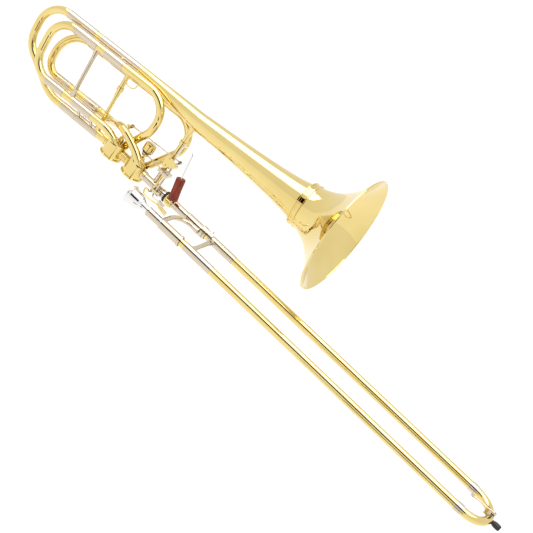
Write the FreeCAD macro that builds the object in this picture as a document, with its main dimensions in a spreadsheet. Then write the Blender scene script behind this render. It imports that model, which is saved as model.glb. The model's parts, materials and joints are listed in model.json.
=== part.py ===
import FreeCAD, Part
import math
import os

import Sketcher
from FreeCAD import Placement, Rotation, Vector

# Bass trombone with two in-line rotary valves (F and G flat).
# Millimetres.  +X runs forward along the hand slide, +Z points from the slide towards the bell,
# -Y is the side of the mouthpiece.  The origin is on the bell-side slide tube, where the left
# hand grips the joint between the slide and the bell section.

doc = FreeCAD.newDocument("trombone")

DIMENSIONS = {
    # layout
    "slide_spacing": 89.0,
    "slide_turn": 5.0,
    "bell_lift": 161.1,
    "bell_tilt": 5.0,
    "bell_yaw": 2.0,
    "yaw_pivot": -170.0,
    # hand slide
    "inner_bore": 14.3,
    "inner_outside": 14.9,
    "stocking_outside": 15.1,
    "stocking_length": 120.0,
    "inner_front": 762.0,
    "outer_bore": 15.6,
    "outer_outside": 16.6,
    "outer_rear": 100.0,
    "bow_start": 791.0,
    "oversleeve_rear": 117.0,
    "oversleeve_length": 67.0,
    "oversleeve_outside": 17.9,
    "hand_brace_place": 129.5,
    "hand_brace_diameter": 9.2,
    "bow_ferrule_length": 15.0,
    "bow_ferrule_outside": 18.4,
    "barrel_outside": 20.5,
    "barrel_bore": 18.8,
    "barrel_flange": 23.2,
    "barrel_rear": 58.0,
    "barrel_front": 111.0,
    "curved_brace_diameter": 10.0,
    "curved_brace_place": 50.0,
    "curved_brace_bend": 34.0,
    "receiver_rear": 20.0,
    "receiver_outside": 17.6,
    "bumper_length": 17.0,
    "bumper_diameter": 11.5,
    # mouthpiece
    "mouthpiece_rim": 39.5,
    "mouthpiece_rear": -30.0,
    # bell
    "bell_rim": 241.0,
    "bell_wall": 0.8,
    "bell_front": 324.0,
    "tail_rear": -191.0,
    "tail_top": 18.6,
    "ring_place": 230.0,
    "ring_width": 15.0,
    "ring_outside": 91.0,
    # bell section tubing
    "tube_outside": 16.4,
    "tube_bore": 14.3,
    "leg_outside": 15.8,
    "sleeve_bore": 16.4,
    "sleeve_outside": 17.9,
    "loop_offset": 24.0,
    "main_upper_leg": 9.6,
    "main_lower_leg": -147.6,
    "f_upper_leg": 0.5,
    "f_lower_leg": -117.5,
    "gb_upper_leg": -18.0,
    "gb_lower_leg": -117.0,
    # valves
    "f_valve_place": -142.5,
    "gb_valve_place": -84.4,
    "casing_diameter": 42.0,
    "casing_bore": 36.4,
    "casing_half_height": 11.0,
    "casing_depth": 14.0,
    "rotor_diameter": 35.8,
    "valve_cap_diameter": 48.0,
    "stem_diameter": 6.0,
    "collar_outside": 20.4,
    "port_offset": 12.0,
    # triggers
    "pivot_side": -12.0,
    "pivot_diameter": 4.4,
    "f_pivot_place": -19.5,
    "gb_pivot_place": -25.5,
    "trigger_throw": 18.0,
    "f_arm_length": 20.0,
    "gb_arm_length": 15.0,
}

sheet = doc.addObject("Spreadsheet::Sheet", "Dimensions")
for row, (alias, value) in enumerate(DIMENSIONS.items(), start=1):
    sheet.set(f"A{row}", alias)
    sheet.set(f"B{row}", str(value))
    sheet.setAlias(f"B{row}", alias)
doc.recompute()


def size(alias):
    return float(sheet.get(alias))


nodes = []
X_AXIS = Vector(1, 0, 0)
Y_AXIS = Vector(0, 1, 0)
Z_AXIS = Vector(0, 0, 1)
WORLD = Placement()
SLIDE_FRAME = Placement(Vector(0, 0, 0), Rotation(X_AXIS, size("slide_turn")))
# The bell section leans a little to the player's side, about a point above the F valve.
BELL_SHIFT = size("yaw_pivot") * math.sin(math.radians(size("bell_yaw")))
BELL_FRAME = Placement(
    Vector(0, BELL_SHIFT, size("bell_lift")),
    Rotation(Z_AXIS, -size("bell_yaw")) * Rotation(Y_AXIS, -size("bell_tilt")),
)
MOUTHPIECE_LINE = -size("slide_spacing")
SLIDE_MIDDLE = MOUTHPIECE_LINE / 2


def node(feature, label):
    """Register a finished sub-part under its own label."""
    feature.Label = label
    nodes.append(feature)
    return feature


def group(parts, label):
    """One node made of separate solids."""
    compound = doc.addObject("Part::Compound", label)
    compound.Links = parts
    return node(compound, label)


def half(alias):
    return f"Dimensions.{alias} / 2"


# ---------------------------------------------------------------- basic shapes


def rod(frame, start, end, radius):
    """A cylinder between two points of a frame; its radius may be a cell expression."""
    first = frame.multVec(start)
    last = frame.multVec(end)
    cylinder = doc.addObject("Part::Cylinder", "rod")
    if isinstance(radius, str):
        cylinder.setExpression("Radius", radius)
    else:
        cylinder.Radius = radius
    cylinder.Height = (last - first).Length
    cylinder.Placement = Placement(first, Rotation(Z_AXIS, last - first))
    return cylinder


def cone(frame, start, end, radius_start, radius_end):
    first = frame.multVec(start)
    last = frame.multVec(end)
    solid = doc.addObject("Part::Cone", "cone")
    solid.Radius1 = radius_start
    solid.Radius2 = radius_end
    solid.Height = (last - first).Length
    solid.Placement = Placement(first, Rotation(Z_AXIS, last - first))
    return solid


def block(frame, low, high):
    box = doc.addObject("Part::Box", "block")
    box.Length = high.x - low.x
    box.Width = high.y - low.y
    box.Height = high.z - low.z
    box.Placement = frame * Placement(low, Rotation())
    return box


def cut(base, *tools):
    for tool in tools:
        difference = doc.addObject("Part::Cut", "cut")
        difference.Base = base
        difference.Tool = tool
        base = difference
    return base


def fuse(*parts):
    union = doc.addObject("Part::MultiFuse", "fuse")
    union.Shapes = list(parts)
    return union


def frozen(feature, label):
    """A copy of a feature's shape, for a second boolean that cuts with it."""
    doc.recompute()
    copy = doc.addObject("Part::Feature", label)
    copy.Shape = feature.Shape.copy()
    return copy


def pipe(frame, start, end, outside, bore):
    """A straight tube; outside and bore are expressions for its radii."""
    return cut(rod(frame, start, end, outside), rod(frame, start, end, bore))


def turned(frame, origin, profile):
    """A body turned about the frame's X axis.

    The profile is a closed list of (distance along the axis, radius).  Every vertex is held by
    two dimensions of the sketch, and an entry that is text is bound to the sheet.
    """
    body = doc.addObject("PartDesign::Body", "turned")
    sketch = body.newObject("Sketcher::SketchObject", "profile")
    plane = [item for item in body.Origin.OriginFeatures if item.Role == "XY_Plane"][0]
    sketch.AttachmentSupport = [(plane, "")]
    sketch.MapMode = "FlatFace"
    values = []
    for along, radius in profile:
        x = value_of(along)
        r = value_of(radius)
        values.append(Vector(x, r, 0))
    count = len(values)
    for index in range(count):
        line = Part.LineSegment(values[index], values[(index + 1) % count])
        sketch.addGeometry(line, False)
    for index in range(count):
        sketch.addConstraint(Sketcher.Constraint("Coincident", index, 2, (index + 1) % count, 1))
    for index, (along, radius) in enumerate(profile):
        bind_point(sketch, index, "DistanceX", values[index].x, along)
        bind_point(sketch, index, "DistanceY", values[index].y, radius)
    revolution = body.newObject("PartDesign::Revolution", "revolution")
    revolution.Profile = sketch
    revolution.ReferenceAxis = (sketch, ["H_Axis"])
    revolution.Angle = 360
    body.Placement = frame * Placement(origin, Rotation())
    return body


def bind_point(sketch, index, kind, value, source):
    constraint = sketch.addConstraint(Sketcher.Constraint(kind, -1, 1, index, 1, value))
    if isinstance(source, str):
        sketch.setExpression(f"Constraints[{constraint}]", source)


def value_of(entry):
    """The number that an entry stands for: itself, or 'Dimensions.alias / 2' and the like."""
    if not isinstance(entry, str):
        return float(entry)
    words = entry.replace("Dimensions.", "").split()
    total = size(words[0])
    if len(words) == 3:
        operand = float(words[2])
        total = {"/": total / operand, "+": total + operand, "-": total - operand}[words[1]]
    return total


def rounded_route(points, radii):
    """Straight runs joined by tangent arcs, one radius for each inner point."""
    edges = []
    previous = points[0]
    for index, radius in enumerate(radii, start=1):
        corner = points[index]
        back = (points[index - 1] - corner).normalize()
        ahead = (points[index + 1] - corner).normalize()
        turn = math.pi - back.getAngle(ahead)
        reach = radius * math.tan(turn / 2)
        first = corner + back * reach
        last = corner + ahead * reach
        inward = (back + ahead).normalize()
        centre = corner + inward * math.hypot(radius, reach)
        middle = centre - inward * radius
        if (first - previous).Length > 0.1:
            edges.append(Part.LineSegment(previous, first).toShape())
        edges.append(Part.Arc(first, middle, last).toShape())
        previous = last
    if (points[-1] - previous).Length > 0.1:
        edges.append(Part.LineSegment(previous, points[-1]).toShape())
    return Part.Wire(edges)


def swept(spine, edge_names, start, direction, radius):
    circle = doc.addObject("Part::Circle", "section")
    if isinstance(radius, str):
        circle.setExpression("Radius", radius)
    else:
        circle.Radius = radius
    circle.Placement = Placement(start, Rotation(Z_AXIS, direction))
    sweep = doc.addObject("Part::Sweep", "sweep")
    sweep.Sections = [circle]
    sweep.Spine = (spine, edge_names)
    sweep.Solid = True
    sweep.Frenet = False
    return sweep


def bent_rod(frame, points, radii, radius):
    placed = [frame.multVec(point) for point in points]
    spine = doc.addObject("Part::Feature", "route")
    spine.Shape = rounded_route(placed, radii)
    names = [f"Edge{index + 1}" for index in range(len(spine.Shape.Edges))]
    return swept(spine, names, placed[0], placed[1] - placed[0], radius)


def bent_pipe(frame, points, radii, outside=None, bore=None):
    outer = bent_rod(frame, points, radii, outside or half("tube_outside"))
    inner = bent_rod(frame, points, radii, bore or half("tube_bore"))
    return cut(outer, inner)


# ---------------------------------------------------------------- hand slide, fixed part


def slide_point(x, y=0.0, z=0.0):
    return Vector(x, y, z)


def inner_slide_tube(line, rear):
    front = size("inner_front") - rear
    stocking = front - size("stocking_length")
    bore = half("inner_bore")
    return turned(
        SLIDE_FRAME,
        slide_point(rear, line),
        [
            (0, bore),
            (0, half("inner_outside")),
            (stocking, half("inner_outside")),
            (stocking + 1, half("stocking_outside")),
            (front, half("stocking_outside")),
            (front, bore),
        ],
    )


def cork_barrel(line, rear):
    length = size("barrel_front") - size("barrel_rear")
    tube = half("inner_outside")
    return turned(
        SLIDE_FRAME,
        slide_point(rear, line),
        [
            (0, tube),
            (0, 8.9),
            (2, half("barrel_outside")),
            (length - 5, half("barrel_outside")),
            (length - 4, half("barrel_flange")),
            (length, half("barrel_flange")),
            (length, half("barrel_bore")),
            (4, half("barrel_bore")),
            (4, tube),
        ],
    )


group([inner_slide_tube(0, 24), inner_slide_tube(MOUTHPIECE_LINE, 48)], "inner_slide_tubes")

bell_barrel_rear = size("barrel_rear")
mouthpiece_barrel_rear = bell_barrel_rear - 5
group(
    [cork_barrel(0, bell_barrel_rear), cork_barrel(MOUTHPIECE_LINE, mouthpiece_barrel_rear)],
    "cork_barrels",
)

leadpipe = turned(
    SLIDE_FRAME,
    slide_point(48, MOUTHPIECE_LINE),
    [(0, 5.6), (0, 7.05), (200, 7.05), (200, 6.9), (20, 6.2)],
)
node(leadpipe, "leadpipe")

receiver = turned(
    SLIDE_FRAME,
    slide_point(size("receiver_rear"), MOUTHPIECE_LINE),
    [
        (0, 6.45),
        (0, 9.6),
        (4, 9.6),
        (5, half("receiver_outside")),
        (33, half("receiver_outside")),
        (33, half("inner_outside")),
        (28, half("inner_outside")),
        (28, 5.98),
    ],
)
socket = turned(
    SLIDE_FRAME,
    slide_point(-8),
    [
        (0, 7.5),
        (0, 9.4),
        (32, 9.4),
        (33, 8.8),
        (66, 8.8),
        (66, 7.5),
    ],
)
group([receiver, socket], "slide_receivers")

brace_x = size("curved_brace_place")
brace_bend = size("curved_brace_bend")
brace_side = -13.5
brace_end = 97.4
brace_radius = half("curved_brace_diameter")
curved = bent_rod(
    SLIDE_FRAME,
    [
        slide_point(brace_x, MOUTHPIECE_LINE),
        slide_point(brace_x, brace_side),
        slide_point(brace_end, brace_side),
    ],
    [brace_bend],
    brace_radius,
)
curved_foot = cone(
    SLIDE_FRAME,
    slide_point(brace_x, MOUTHPIECE_LINE),
    slide_point(brace_x, MOUTHPIECE_LINE + 15),
    8.2,
    4.6,
)
curved_saddle = cone(
    SLIDE_FRAME, slide_point(brace_end - 19, brace_side), slide_point(brace_end, brace_side), 4.6, 6.6
)
inner_brace = cut(
    fuse(curved, curved_foot, curved_saddle),
    rod(SLIDE_FRAME, slide_point(20), slide_point(120), half("barrel_outside")),
    rod(
        SLIDE_FRAME,
        slide_point(10, MOUTHPIECE_LINE),
        slide_point(mouthpiece_barrel_rear, MOUTHPIECE_LINE),
        half("receiver_outside"),
    ),
    rod(
        SLIDE_FRAME,
        slide_point(mouthpiece_barrel_rear, MOUTHPIECE_LINE),
        slide_point(120, MOUTHPIECE_LINE),
        half("barrel_outside"),
    ),
)
node(inner_brace, "inner_slide_brace")

rubber_ring = turned(
    SLIDE_FRAME, slide_point(-1.5), [(0, 9.5), (0, 11.6), (3.5, 11.6), (3.5, 9.5)]
)
node(rubber_ring, "neck_rubber_ring")

lock_nut = turned(
    SLIDE_FRAME,
    slide_point(4),
    [(0, 9.7), (0, 11.4), (3, 13.0), (13, 13.0), (16, 11.4), (16, 9.7)],
)
node(lock_nut, "bell_lock_nut")

lock_rear = 98.0
lock_band = turned(
    SLIDE_FRAME,
    slide_point(lock_rear),
    [(0, 10.6), (0, 12.4), (7, 12.4), (7, 10.6)],
)
lock_arm = block(
    SLIDE_FRAME * Placement(Vector(0, 0, 0), Rotation(X_AXIS, 35)),
    Vector(lock_rear + 1, -2.5, 11.9),
    Vector(124.5, 2.5, 13.6),
)
lock_finger = block(
    SLIDE_FRAME * Placement(Vector(0, 0, 0), Rotation(X_AXIS, 35)),
    Vector(122.0, 2.4, 11.9),
    Vector(124.5, 7.0, 13.6),
)
node(fuse(lock_band, lock_arm, lock_finger), "slide_lock_ring")

# ---------------------------------------------------------------- hand slide, moving part

outer_rear = size("outer_rear")
bow_start = size("bow_start")
outer_tubes = [
    pipe(
        SLIDE_FRAME,
        slide_point(outer_rear, line),
        slide_point(bow_start, line),
        half("outer_outside"),
        half("outer_bore"),
    )
    for line in (0, MOUTHPIECE_LINE)
]
group(outer_tubes, "outer_slide_tubes")

sleeve_rear = size("oversleeve_rear")
sleeve_front = sleeve_rear + size("oversleeve_length")
oversleeves = [
    pipe(
        SLIDE_FRAME,
        slide_point(sleeve_rear, line),
        slide_point(sleeve_front, line),
        half("oversleeve_outside"),
        half("outer_outside"),
    )
    for line in (0, MOUTHPIECE_LINE)
]
lock_pin = cut(
    rod(
        SLIDE_FRAME * Placement(Vector(0, 0, 0), Rotation(X_AXIS, -12)),
        slide_point(119.5, 0, 5),
        slide_point(119.5, 0, 14.5),
        1.5,
    ),
    rod(SLIDE_FRAME, slide_point(110), slide_point(130), half("oversleeve_outside")),
)
group(oversleeves + [lock_pin], "slide_oversleeves")

hand_x = size("hand_brace_place")
hand_rod = rod(
    SLIDE_FRAME,
    slide_point(hand_x, MOUTHPIECE_LINE),
    slide_point(hand_x, 0),
    half("hand_brace_diameter"),
)
hand_sockets = [
    cone(
        SLIDE_FRAME,
        slide_point(hand_x, line),
        slide_point(hand_x, line + step),
        6.6,
        5.6,
    )
    for line, step in ((0, -17), (MOUTHPIECE_LINE, 17))
]
hand_brace = cut(
    fuse(hand_rod, *hand_sockets),
    rod(SLIDE_FRAME, slide_point(100), slide_point(160), half("oversleeve_outside")),
    rod(
        SLIDE_FRAME,
        slide_point(100, MOUTHPIECE_LINE),
        slide_point(160, MOUTHPIECE_LINE),
        half("oversleeve_outside"),
    ),
)
node(hand_brace, "outer_slide_brace")

bow_radius = size("slide_spacing") / 2
slide_bow = bent_pipe(
    SLIDE_FRAME,
    [
        slide_point(bow_start, 0),
        slide_point(bow_start + bow_radius, 0),
        slide_point(bow_start + bow_radius, MOUTHPIECE_LINE),
        slide_point(bow_start, MOUTHPIECE_LINE),
    ],
    [bow_radius, bow_radius],
    half("outer_outside"),
    half("tube_bore"),
)
apex = bow_start + bow_radius
nipple_place = slide_point(apex, SLIDE_MIDDLE, 0)
drain = rod(SLIDE_FRAME, nipple_place, slide_point(apex, SLIDE_MIDDLE, 13), 1.8)
node(cut(slide_bow, drain), "slide_bow")

ferrule_half = size("bow_ferrule_length")
bow_ferrules = [
    pipe(
        SLIDE_FRAME,
        slide_point(bow_start - ferrule_half, line),
        slide_point(bow_start, line),
        half("bow_ferrule_outside"),
        half("outer_outside"),
    )
    for line in (0, MOUTHPIECE_LINE)
]
group(bow_ferrules, "bow_ferrules")

bow_envelope = bent_rod(
    SLIDE_FRAME,
    [
        slide_point(bow_start, 0),
        slide_point(bow_start + bow_radius, 0),
        slide_point(bow_start + bow_radius, MOUTHPIECE_LINE),
        slide_point(bow_start, MOUTHPIECE_LINE),
    ],
    [bow_radius, bow_radius],
    half("outer_outside"),
)
bumper_rear = apex + size("outer_outside") / 2
bumper_profile = [
    (0, 0),
    (0, 4.2),
    (3, 4.2),
    (3.6, 5.2),
    (6, 5.2),
    (6.6, half("bumper_diameter")),
    (14.5, half("bumper_diameter")),
    ("Dimensions.bumper_length + 1", 4.6),
    ("Dimensions.bumper_length + 1", 0),
]
bumper = cut(
    turned(SLIDE_FRAME, slide_point(bumper_rear - 1, SLIDE_MIDDLE), bumper_profile), bow_envelope
)
node(bumper, "bow_bumper")

nipple = cut(
    rod(SLIDE_FRAME, nipple_place, slide_point(apex, SLIDE_MIDDLE, 11.4), 3.4),
    rod(SLIDE_FRAME, nipple_place, slide_point(apex, SLIDE_MIDDLE, 13), 1.8),
)
saddle_plate = block(
    SLIDE_FRAME,
    Vector(apex - 15, SLIDE_MIDDLE - 5.0, 4.0),
    Vector(apex - 2, SLIDE_MIDDLE + 5.0, 8.0),
)
ears = [
    block(
        SLIDE_FRAME,
        Vector(apex - 15, SLIDE_MIDDLE + side, 7.5),
        Vector(apex - 9.5, SLIDE_MIDDLE + side + 1.6, 16.2),
    )
    for side in (-5.0, 3.4)
]
saddle = cut(fuse(nipple, saddle_plate, *ears), frozen(bow_envelope, "bow_volume"))
node(saddle, "water_key_saddle")

key_pin = rod(
    SLIDE_FRAME,
    slide_point(apex - 12.3, SLIDE_MIDDLE - 3.1, 13.4),
    slide_point(apex - 12.3, SLIDE_MIDDLE + 3.1, 13.4),
    2.4,
)
key_arm = bent_rod(
    SLIDE_FRAME,
    [
        slide_point(apex, SLIDE_MIDDLE, 16.4),
        slide_point(apex - 12, SLIDE_MIDDLE, 14.5),
        slide_point(apex - 46, SLIDE_MIDDLE, 12.0),
    ],
    [20.0],
    1.5,
)
key_touch = rod(
    SLIDE_FRAME,
    slide_point(apex - 46, SLIDE_MIDDLE, 11.0),
    slide_point(apex - 46, SLIDE_MIDDLE, 13.4),
    4.4,
)
key_cup = rod(
    SLIDE_FRAME,
    slide_point(apex, SLIDE_MIDDLE, 14.0),
    slide_point(apex, SLIDE_MIDDLE, 16.6),
    4.4,
)
node(fuse(key_pin, key_arm, key_touch, key_cup), "water_key_lever")
key_cork = rod(
    SLIDE_FRAME,
    slide_point(apex, SLIDE_MIDDLE, 11.4),
    slide_point(apex, SLIDE_MIDDLE, 14.0),
    3.8,
)
node(key_cork, "water_key_cork")

# ---------------------------------------------------------------- mouthpiece

mouthpiece = turned(
    SLIDE_FRAME,
    slide_point(size("mouthpiece_rear"), MOUTHPIECE_LINE),
    [
        (2.2, 13.4),
        (0.6, 14.6),
        (0, 16.2),
        (0.5, 18.2),
        (2.2, half("mouthpiece_rim")),
        (4.6, half("mouthpiece_rim")),
        (6.4, 18.4),
        (8.0, 16.6),
        (14, 16.1),
        (22, 15.6),
        (28, 14.1),
        (32, 11.9),
        (35, 9.6),
        (39, 8.0),
        (50, 6.4),
        (76, 5.93),
        (76, 5.0),
        (38, 3.5),
        (31, 4.0),
        (25, 7.6),
        (18, 10.8),
        (10, 12.4),
    ],
)
node(mouthpiece, "mouthpiece")

# ---------------------------------------------------------------- bell


def tail_radius(station):
    """Outside radius of the bell tail: a slow cone that joins the flare."""
    stations = [(size("tail_rear"), 8.95), (-130.0, 12.2), (-67.0, 16.4), (-20.0, 19.2)]
    stations += [(24.0, 21.3), (90.0, 24.7), (150.0, 29.0), (190.0, 33.4), (222.0, 39.4)]
    stations += [(229.6, 41.4)]
    for (left, small), (right, large) in zip(stations, stations[1:]):
        if left <= station <= right:
            share = (station - left) / (right - left)
            return small + share * (large - small)
    return stations[-1][1]


def tail_centre(station):
    """The tail's upper line is straight, so its centre drops as it widens."""
    return max(0.0, size("tail_top") - 0.05 - tail_radius(station))


TAIL_STATIONS = [size("tail_rear"), -130.0, -67.0, -20.0, 24.0, 90.0, 150.0, 190.0, 222.0, 229.6]


def tail_loft(inset):
    circles = []
    for station in TAIL_STATIONS:
        circle = doc.addObject("Part::Circle", "tail_section")
        circle.Radius = tail_radius(station) - inset
        centre = BELL_FRAME.multVec(Vector(station, 0, tail_centre(station)))
        circle.Placement = Placement(centre, BELL_FRAME.Rotation * Rotation(Y_AXIS, 90))
        circles.append(circle)
    loft = doc.addObject("Part::Loft", "tail_loft")
    loft.Sections = circles
    loft.Solid = True
    loft.Ruled = False
    return loft


tail_outside = tail_loft(0.0)
node(cut(tail_outside, tail_loft(size("bell_wall"))), "bell_tail")

ring_place = size("ring_place")
ring_top = size("ring_outside") / 2
tail_solid = frozen(tail_outside, "tail_solid")
fixed_ring = turned(
    BELL_FRAME,
    Vector(ring_place - size("ring_width") / 2, 0, 0),
    [(0, 36.0), (0, 42.4), (1.2, ring_top), (3.2, ring_top), (3.8, 43.4), (7.1, 43.4), (7.1, 36.0)],
)
node(cut(fixed_ring, tail_solid), "bell_thread_ring")
flare_ring = turned(
    BELL_FRAME,
    Vector(ring_place, 0, 0),
    [
        (0, 41.9),
        (0, 43.4),
        (3.6, 43.4),
        (4.2, ring_top + 0.6),
        (6.3, ring_top + 0.6),
        (7.5, 44.0),
        (7.5, 41.9),
    ],
)
FLARE_STATIONS = [
    (230.0, 41.9),
    (241.0, 44.6),
    (254.0, 48.9),
    (268.0, 55.6),
    (281.0, 65.0),
    (295.0, 79.0),
    (309.0, 97.0),
]


def flare_profile():
    """Closed outline of the flare's wall, with a rolled bead on the rim."""
    wall = size("bell_wall")
    front = size("bell_front")
    rim = size("bell_rim") / 2
    bead = 1.8
    outer = [Vector(station, radius, 0) for station, radius in FLARE_STATIONS]
    outer.append(Vector(front - 1.4, rim - bead, 0))
    inner = []
    for index, point in enumerate(outer):
        before = outer[max(index - 1, 0)]
        after = outer[min(index + 1, len(outer) - 1)]
        along = (after - before).normalize()
        inner.append(point + Vector(along.y, -along.x, 0) * wall)
    outside = Part.BSplineCurve()
    outside.interpolate(outer)
    inside = Part.BSplineCurve()
    inside.interpolate(list(reversed(inner)))
    edges = [
        outside.toShape(),
        Part.LineSegment(outer[-1], inner[-1]).toShape(),
        inside.toShape(),
        Part.LineSegment(inner[0], outer[0]).toShape(),
    ]
    return Part.Face(Part.Wire(edges))


flare_face = doc.addObject("Part::Feature", "flare_outline")
flare_face.Shape = flare_profile()
flare_turn = doc.addObject("Part::Revolution", "flare_wall")
flare_turn.Source = flare_face
flare_turn.Axis = X_AXIS
flare_turn.Base = Vector(0, 0, 0)
flare_turn.Angle = 360
flare_turn.Solid = True
flare_turn.Placement = BELL_FRAME
rim_bead = doc.addObject("Part::Torus", "rim_bead")
rim_bead.Radius1 = size("bell_rim") / 2 - 1.8
rim_bead.Radius2 = 1.8
rim_bead.Placement = BELL_FRAME * Placement(
    Vector(size("bell_front") - 1.8, 0, 0), Rotation(Y_AXIS, 90)
)
node(fuse(flare_turn, rim_bead, flare_ring), "bell_flare")

# ---------------------------------------------------------------- valves and neck

VALVES = {"f": size("f_valve_place"), "gb": size("gb_valve_place")}
casing_radius = size("casing_diameter") / 2
casing_half = size("casing_half_height")
casing_foot = -size("casing_depth")
port_bore = half("tube_bore")


def valve_casing(place):
    low = Vector(place, 0, casing_foot)
    high = Vector(place, 0, casing_half + 1)
    shell = rod(WORLD, low, high, half("casing_diameter"))
    collars = []
    for direction in (X_AXIS, X_AXIS * -1):
        centre = Vector(place, 0, 0)
        collars.append(
            rod(WORLD, centre + direction * 17, centre + direction * (casing_radius + 1.5), 9.4)
        )
    chamber = rod(WORLD, low, high, half("casing_bore"))
    inline = rod(WORLD, Vector(place - 40, 0, 0), Vector(place + 40, 0, 0), port_bore)
    return cut(fuse(shell, *collars), chamber, inline)


def valve_cap(place):
    upward = Placement(Vector(place, 0, casing_foot), Rotation(Y_AXIS, 90))
    return turned(
        upward,
        Vector(0, 0, 0),
        [
            (0, 0),
            (0, casing_radius),
            (0.6, half("valve_cap_diameter")),
            (3.0, half("valve_cap_diameter")),
            (4.2, 22.6),
            (5.2, 15.0),
            (5.6, 0),
        ],
    )


LID_LOW = casing_half + 1
LID_TOP = casing_half + 4


def valve_lid(place, port_tubes):
    """Plate over the rotor, pierced by the stem and by the two tubes of the loop."""
    disc = rod(WORLD, Vector(place, 0, LID_LOW), Vector(place, 0, LID_TOP), casing_radius)
    boss = rod(WORLD, Vector(place, 0, LID_TOP - 1), Vector(place, 0, LID_TOP + 3), 4.4)
    hole = rod(
        WORLD,
        Vector(place, 0, casing_half),
        Vector(place, 0, LID_TOP + 4),
        size("stem_diameter") / 2 + 0.3,
    )
    return cut(fuse(disc, boss), hole, *port_tubes)


def rotor(place):
    """Drum with a straight passage, and a pocket under each tube of the loop."""
    drum = rod(
        WORLD,
        Vector(place, 0, casing_foot + 0.4),
        Vector(place, 0, casing_half + 0.6),
        half("rotor_diameter"),
    )
    stem = rod(
        WORLD,
        Vector(place, 0, casing_half),
        Vector(place, 0, casing_half + 12),
        half("stem_diameter"),
    )
    passage = rod(WORLD, Vector(place - 30, 0, 0), Vector(place + 30, 0, 0), port_bore)
    pockets = [
        rod(WORLD, Vector(place, side, 8.5), Vector(place, side, 20), 5.2)
        for side in (-11.0, 11.0)
    ]
    return cut(fuse(drum, stem), passage, *pockets)


group([valve_casing(place) for place in VALVES.values()], "valve_casings")
group([valve_cap(place) for place in VALVES.values()], "valve_caps")
for name, place in VALVES.items():
    node(rotor(place), f"{name}_rotor")

STOP_REACH = 11.0
STOP_RADIUS = 1.4
REST_ANGLE = 107.0
TURN = 90.0


def polar(place, radius, angle, lift):
    turn = math.radians(angle)
    return Vector(place + radius * math.cos(turn), radius * math.sin(turn), lift)


def stop_bumpers(place):
    """Two rubber pegs on the lid: the tongue rests on one and is stopped by the other."""
    gap_angle = 17.5
    first = REST_ANGLE - gap_angle
    last = REST_ANGLE + TURN + gap_angle
    pegs = []
    for angle in (first, last):
        foot = polar(place, STOP_REACH, angle, LID_TOP)
        top = polar(place, STOP_REACH, angle, LID_TOP + 5.5)
        pegs.append(rod(WORLD, foot, top, STOP_RADIUS))
    return pegs


ARM_TRAVEL = {
    name: size(f"{name}_arm_length") * math.sin(math.radians(size("trigger_throw")))
    for name in VALVES
}
CRANK = {name: travel / math.sqrt(2) for name, travel in ARM_TRAVEL.items()}
CRANK_LIFT = {"f": 58.5, "gb": 36.5}
PIN_RADIUS = 1.4
PIN_ABOVE = 3.8
# The F rod is pushed to the rear and the G flat rod is pulled forward.
PIN_START = {"f": 45.0, "gb": 225.0}


def stop_arm(name, place):
    """Hub on the rotor's stem, a tongue between the pegs, and the crank pin of the link rod."""
    low = LID_TOP + 4
    lift = CRANK_LIFT[name]
    hub = rod(WORLD, Vector(place, 0, low), Vector(place, 0, low + 8), 5.0)
    bore = rod(WORLD, Vector(place, 0, 0), Vector(place, 0, casing_half + 12), half("stem_diameter"))
    tongue_frame = Placement(Vector(place, 0, low), Rotation(Z_AXIS, REST_ANGLE))
    tongue = block(tongue_frame, Vector(0, -1.6, 0), Vector(13.5, 1.6, 3.4))
    plate_top = lift - 2.4
    plate = rod(WORLD, Vector(place, 0, plate_top - 2), Vector(place, 0, plate_top), 6.2)
    post = rod(WORLD, Vector(place, 0, low + 7), Vector(place, 0, plate_top - 1), 2.4)
    foot = polar(place, CRANK[name], PIN_START[name], plate_top - 1)
    head = polar(place, CRANK[name], PIN_START[name], lift + PIN_ABOVE)
    pin = rod(WORLD, foot, head, PIN_RADIUS)
    return cut(fuse(hub, tongue, plate, post, pin), bore)


for name, place in VALVES.items():
    node(stop_arm(name, place), f"{name}_stop_arm")

gb_place = VALVES["gb"]
drum_low = CRANK_LIFT["gb"] + PIN_ABOVE
node(
    rod(WORLD, Vector(gb_place, 0, drum_low), Vector(gb_place, 0, drum_low + 2.4), 10.4),
    "gb_drum_ring",
)
drum_upright = Placement(Vector(gb_place, 0, drum_low + 2.4), Rotation(Y_AXIS, -90))
gb_drum = turned(
    drum_upright,
    Vector(0, 0, 0),
    [(0, 0), (0, 11.4), (1, 11.9), (14, 11.9), (15.4, 11.4), (16.2, 9.6), (16.4, 0)],
)
node(gb_drum, "gb_drum")

connector_profile = [(0, 7.15), (0, 9.0)]
connector_length = VALVES["gb"] - VALVES["f"] - 2 * (casing_radius + 1.5)
for rib in range(3):
    start = 1.4 + rib * (connector_length - 2) / 3
    connector_profile += [(start, 9.0), (start + 0.6, 9.9), (start + 2.4, 9.9), (start + 3.0, 9.0)]
connector_profile += [(connector_length, 9.0), (connector_length, 7.15)]
connector = turned(
    WORLD, Vector(VALVES["f"] + casing_radius + 1.5, 0, 0), connector_profile
)
node(connector, "valve_connector")

neck_rear = VALVES["gb"] + casing_radius + 1.5
neck_length = 20 - neck_rear
neck = turned(
    WORLD,
    Vector(neck_rear, 0, 0),
    [
        (0, 7.15),
        (0, half("collar_outside")),
        (5, half("collar_outside")),
        (6, 8.7),
        (neck_length - 32, 8.7),
        (neck_length - 31, 9.6),
        (neck_length - 28.3, 9.6),
        (neck_length - 28.2, 7.4),
        (neck_length, 7.3),
        (neck_length, 6.7),
    ],
)
node(neck, "neck_pipe")

# ---------------------------------------------------------------- tuning slides

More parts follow.
